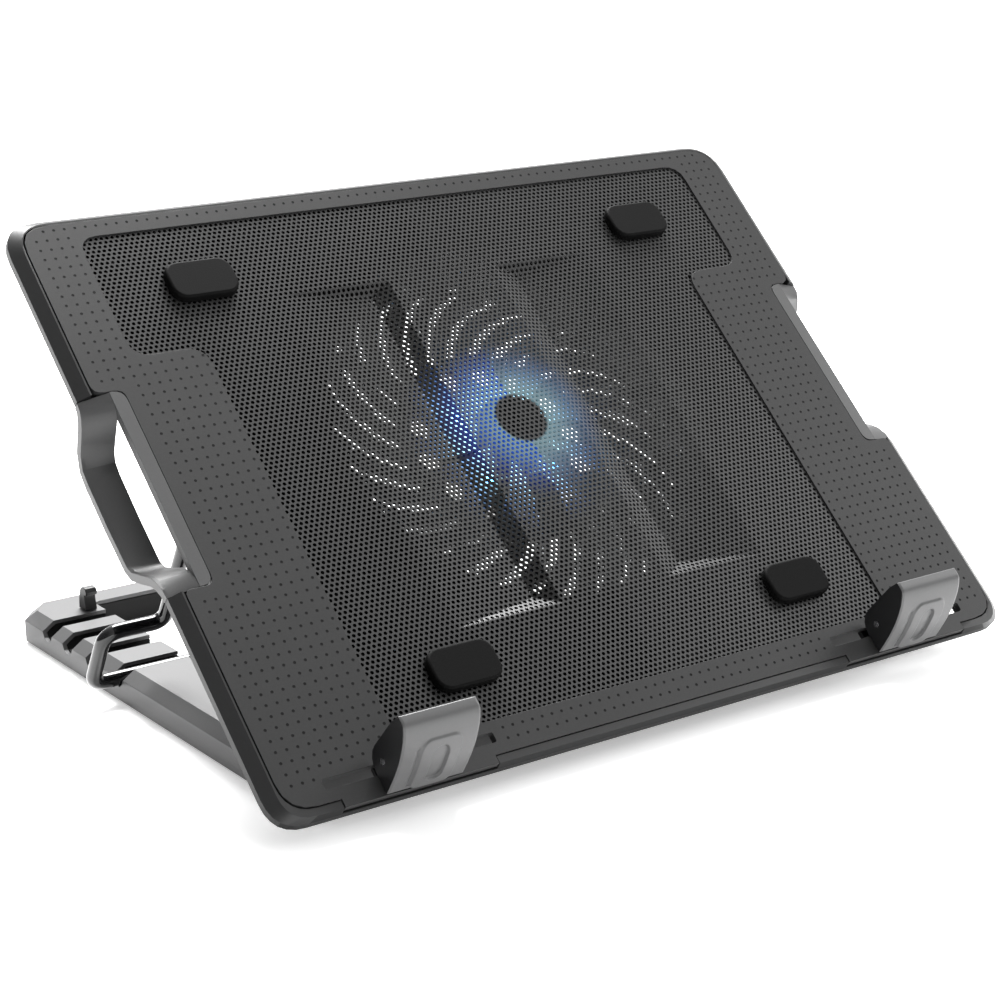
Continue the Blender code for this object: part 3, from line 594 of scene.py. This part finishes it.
def bail_line():
    """The rod's centre line, flat, from clip to clip, with each bend rounded."""
    length = (BAIL_PIVOT - BAIL_FOOT).length
    corners = [(0.0, 0.0, 0.0), (0.178, 0.0, 0.0065), (0.178, 0.031, 0.008), (0.1505, 0.031, 0.006),
               (0.1505, length, 0.0055), (0.1265, length, 0.0)]
    line = []
    for i, (x, y, bend) in enumerate(corners):
        here = Vector((x, y))
        if bend == 0.0:
            line.append(here)
            continue
        before, after = Vector(corners[i - 1][:2]), Vector(corners[i + 1][:2])
        start = here + (before - here).normalized() * bend
        end = here + (after - here).normalized() * bend
        for k in range(BEND_STEPS + 1):
            t = k / BEND_STEPS
            line.append(start * (1 - t) ** 2 + here * 2 * t * (1 - t) + end * t ** 2)
    return [Vector((-p.x, p.y)) for p in reversed(line[1:])] + line[1:]


def bail_tree(mat):
    """A round rod along the line that comes in."""
    tree = new_tree("bent_rod")
    tree.interface.new_socket("Geometry", in_out="INPUT", socket_type="NodeSocketGeometry")
    add_size(tree, "Radius", ROD_RADIUS)
    given = put(tree, "NodeGroupInput")
    section = put(tree, "GeometryNodeCurvePrimitiveCircle",
                  {"Resolution": 28, "Radius": given.outputs["Radius"]}, mode="RADIUS")
    swept = put(tree, "GeometryNodeCurveToMesh", {
        "Curve": given.outputs["Geometry"], "Profile Curve": section.outputs[0], "Fill Caps": True})
    smooth = put(tree, "GeometryNodeSetShadeSmooth", {"Geometry": swept.outputs[0]})
    real = put(tree, "GeometryNodeRealizeInstances", {0: smooth.outputs[0]})
    put_out(tree, real.outputs[0], mat)
    return tree


bail_black = moulded("bail_black", (0.004, 0.004, 0.0045), 0.06, 0.05, 0.000003)
plating = bail_black.node_tree.nodes["Principled BSDF"].inputs
plating["Coat Weight"].default_value = 0.3
plating["Coat Roughness"].default_value = 0.05
bail_curve = bpy.data.curves.new("bail_line", "CURVE")
bail_curve.dimensions = "3D"
rod_line = bail_curve.splines.new("POLY")
route = bail_line()
rod_line.points.add(len(route) - 1)
for point, p in zip(rod_line.points, route):
    along = Vector((p.x, -p.y * math.cos(BAIL_SLOPE), p.y * math.sin(BAIL_SLOPE))) + BAIL_FOOT
    point.co = (*along, 1.0)
bail_raw = bpy.data.objects.new("raw_bail", bail_curve)
bpy.context.scene.collection.objects.link(bail_raw)
bail_raw.modifiers.new("maker", "NODES").node_group = bail_tree(bail_black)
bail_rod = plain_mesh(bail_raw, "bail_rod")
bail_rod.data.set_sharp_from_angle(angle=JOG_ANGLE)
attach(bail_rod, "bail")
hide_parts("bail")
clip_black = moulded("clip_black", (0.008, 0.008, 0.0085), 0.38)
for side in "lr":
    softened("bail_clip_" + side, 0.0005, clip_black, "deck", 2)

# Stops: each slides in its slot on a black carriage and flips on a steel pin. The plate is pale plastic with
# a raised panel on its curved face and a long dished recess in the panel.
# The face line is (up the slope, out of the deck) in millimetres, from its foot to its lip.
STOP_FACE = ((1.2, 0.4), (2.1, 6.0), (3.2, 11.5), (5.2, 18.5), (8.6, 26.0), (12.6, 31.0), (17.2, 31.4))
STOP_MIDDLE = 0.1263
STOP_HALF = 0.0171
FACE_LENGTH = 37.0
FACE_ACROSS, FACE_UP = 120, 128
FACE_LIFT = 0.35
FACE_FLOOR = 0.02
BLEND_CELLS = 3.0
CHEEK_TURN = 0.7


def face_point(t):
    """A smooth point on the stop's face line in deck axes, and the way out of it; t runs up the face."""
    count = len(STOP_FACE) - 1
    i = min(int(t * count), count - 1)
    f = t * count - i
    p = [Vector(STOP_FACE[max(0, min(count, i + k))]) for k in (-1, 0, 1, 2)]
    at = 0.5 * (2 * p[1] + (p[2] - p[0]) * f + (2 * p[0] - 5 * p[1] + 4 * p[2] - p[3]) * f ** 2
                + (3 * p[1] - 3 * p[2] + p[3] - p[0]) * f ** 3)
    way = 0.5 * ((p[2] - p[0]) + 2 * (2 * p[0] - 5 * p[1] + 4 * p[2] - p[3]) * f
                 + 3 * (3 * p[1] - 3 * p[2] + p[3] - p[0]) * f ** 2)
    out = Vector((-way.y, way.x)).normalized()
    return at * 0.001, out


def ease(value):
    """A soft step from 0 to 1."""
    value = max(0.0, min(1.0, value))
    return value * value * (3 - 2 * value)


def rounded_depth(x, y, half_x, half_y, radius):
    """How far inside a rounded rectangle a point is, in millimetres; negative outside."""
    qx, qy = abs(x) - half_x + radius, abs(y) - half_y + radius
    return radius - math.hypot(max(qx, 0.0), max(qy, 0.0)) - min(max(qx, qy), 0.0)


def stop_height(x, y):
    """Height of the face above its plain curve, in millimetres, x across and y up from the foot."""
    panel = ease(rounded_depth(x - 0.8, y - 12.0, 9.8, 12.2, 5.0) / 0.9)
    recess = ease(rounded_depth(x - 0.9, y - 12.4, 3.8, 8.6, 3.4) / 0.5)
    groove = ease(rounded_depth(x + 9.4, y - 12.0, 0.7, 9.5, 0.6) / 0.5)
    return 0.8 * panel - 1.7 * recess - 0.9 * groove


def stop_face(name, middle):
    """The face as a fine sheet laid on the plate, down to the plate at its edges."""
    verts, faces = [], []
    for j in range(FACE_UP + 1):
        at, out = face_point(j / FACE_UP)
        for i in range(FACE_ACROSS + 1):
            x = (2 * i / FACE_ACROSS - 1) * STOP_HALF
            edge = min(1.0, min(i, FACE_ACROSS - i) / BLEND_CELLS, min(j, FACE_UP - j) / BLEND_CELLS)
            height = max(stop_height(x * 1000, j / FACE_UP * FACE_LENGTH), FACE_FLOOR - FACE_LIFT)
            lift = (FACE_LIFT + height) * 0.001 * edge
            v, n = at.x + out.x * lift, at.y + out.y * lift
            place = Vector((middle + x, v * math.cos(TILT) - n * math.sin(TILT),
                            v * math.sin(TILT) + n * math.cos(TILT)))
            verts.append(place + FRONT_EDGE)
    row = FACE_ACROSS + 1
    for j in range(FACE_UP):
        for i in range(FACE_ACROSS):
            a = j * row + i
            faces.append((a, a + 1, a + 1 + row, a + row))
    mesh = bpy.data.meshes.new(name)
    mesh.from_pydata(verts, [], faces)
    mesh.shade_smooth()
    mesh.materials.append(stop_pale)
    piece = bpy.data.objects.new(name, mesh)
    bpy.context.scene.collection.objects.link(piece)
    return piece


stop_pale = moulded("stop_pale", (0.07, 0.07, 0.071), 0.32, 0.1)
cheek_black = moulded("cheek_black", (0.006, 0.006, 0.0065), 0.42, shine=0.35)
for side, sign in (("l", -1), ("r", 1)):
    plate = softened("stop_plate_" + side, 0.0004, stop_pale, "stop_plate_" + side,
                     2)
    plate.data.materials.append(cheek_black)
    for face in plate.data.polygons:
        if abs(face.normal.x) > CHEEK_TURN:
            face.material_index = 1
    skin = stop_face("stop_face_" + side, sign * STOP_MIDDLE)
    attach(skin, "stop_plate_" + side)
    softened("stop_slider_" + side, 0.0004, cheek_black, "stop_slider_" + side, 2)
    softened("stop_pin_" + side, 0.0001, axle_steel, "stop_plate_" + side, 1)

# Base: a pale moulded shell with bevelled sides over an inner frame, which shows in the notches and round the
# opening; its near-black colour is painted shade there. Steel pins hold the deck's lugs, a hook at each rear
# corner takes the folded bail.
base_pale = moulded("base_pale", (0.068, 0.068, 0.069), 0.4, 0.12)
softened("base_cover", 0.0004, base_pale, "base", 2)
# the inner frame's near-black colour is the painted shade of the notches and the opening
inner_frame_painted_shade = moulded("inner_frame_painted_shade", (0.003, 0.003, 0.003), 0.5, shine=0.2)
softened("base_frame", 0.0003, inner_frame_painted_shade, "base", 1)
foot_rubber = moulded("foot_rubber", (0.008, 0.008, 0.008), 0.7, 0.2, 0.00008, grain=RUBBER_GRAIN)
for side in "lr":
    softened("hinge_pin_" + side, 0.0001, axle_steel, "base", 1)
    softened("latch_hook_" + side, 0.0004, deck_grey, "base", 2)
    softened("foot_front_" + side, 0.0001, foot_rubber, "base", 1)
    softened("foot_rear_" + side, 0.0001, foot_rubber, "base", 1)
